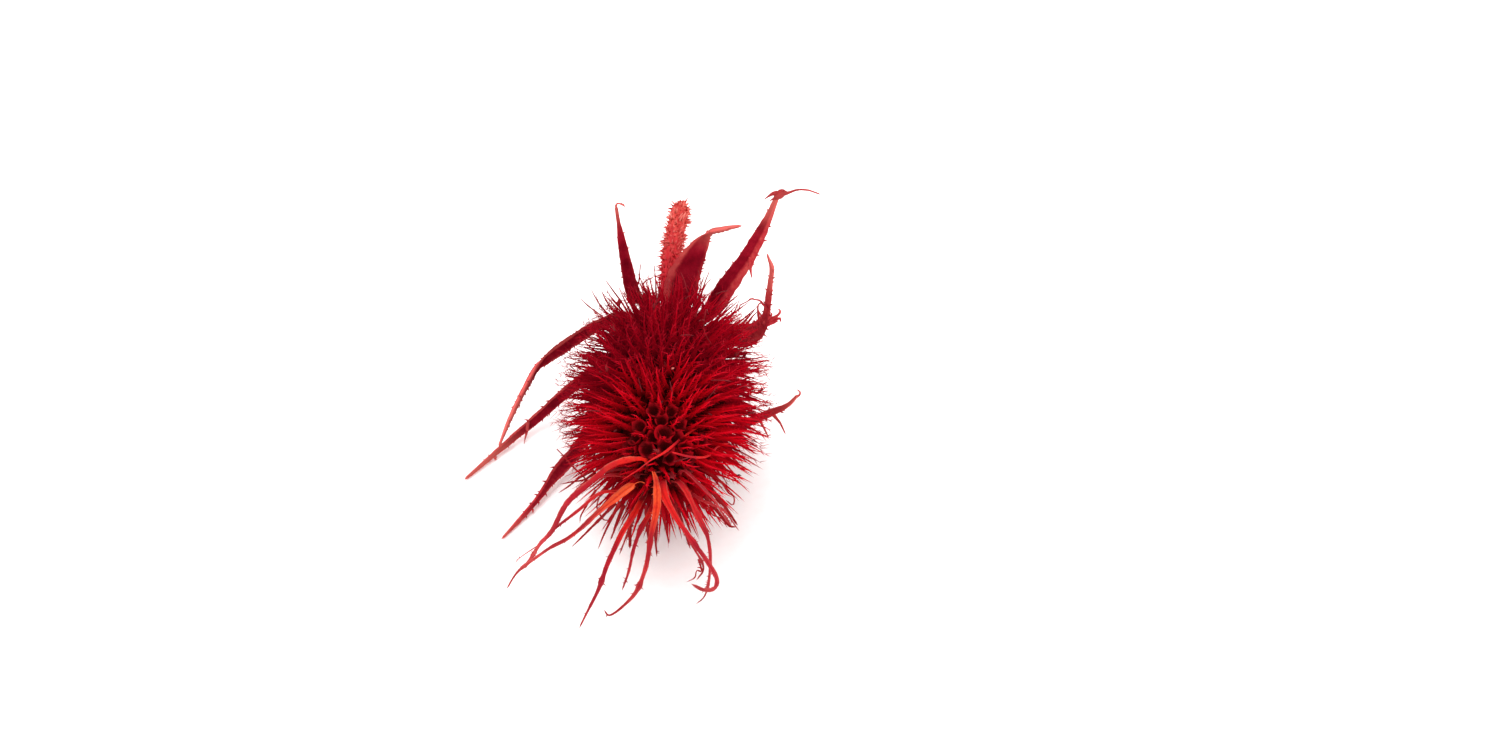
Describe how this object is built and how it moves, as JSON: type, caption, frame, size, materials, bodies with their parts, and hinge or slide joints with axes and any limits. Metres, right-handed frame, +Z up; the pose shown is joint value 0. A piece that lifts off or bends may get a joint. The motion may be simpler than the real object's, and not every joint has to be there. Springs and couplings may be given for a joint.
{
  "type": "teasel seed head",
  "caption": "Dried, red-dyed teasel head lying on its side: an egg-shaped head of spines with long bent awns at its crown, a whorl of thorny bracts and a short prickly stem.",
  "frame": {"origin": "the worn foot of a spine nearly under the head's centre, on the surface that the head lies on", "axes": "+Y along the head from its crown to the cut end of the stem, +Z up, +X to the right as one looks at the crown"},
  "size_m": [0.0706, 0.1292, 0.0577],
  "materials": {
    "head": "matt dyed dry plant, deep crimson",
    "bract": "matt dyed dry plant, brownish crimson",
    "stem": "matt dyed dry plant, paler red"
  },
  "bodies": {
    "root": {"spiny_head": "head", "bract_top_broad": "bract", "bract_top_right": "bract", "bract_right_bent": "bract", "bract_right_low": "bract", "bract_under_right": "bract", "bract_under_left": "bract", "bract_left_floor": "bract", "bract_left_low": "bract", "bract_left_arched": "bract", "bract_top_left": "bract", "stem": "stem"}
  },
  "joints": []
}
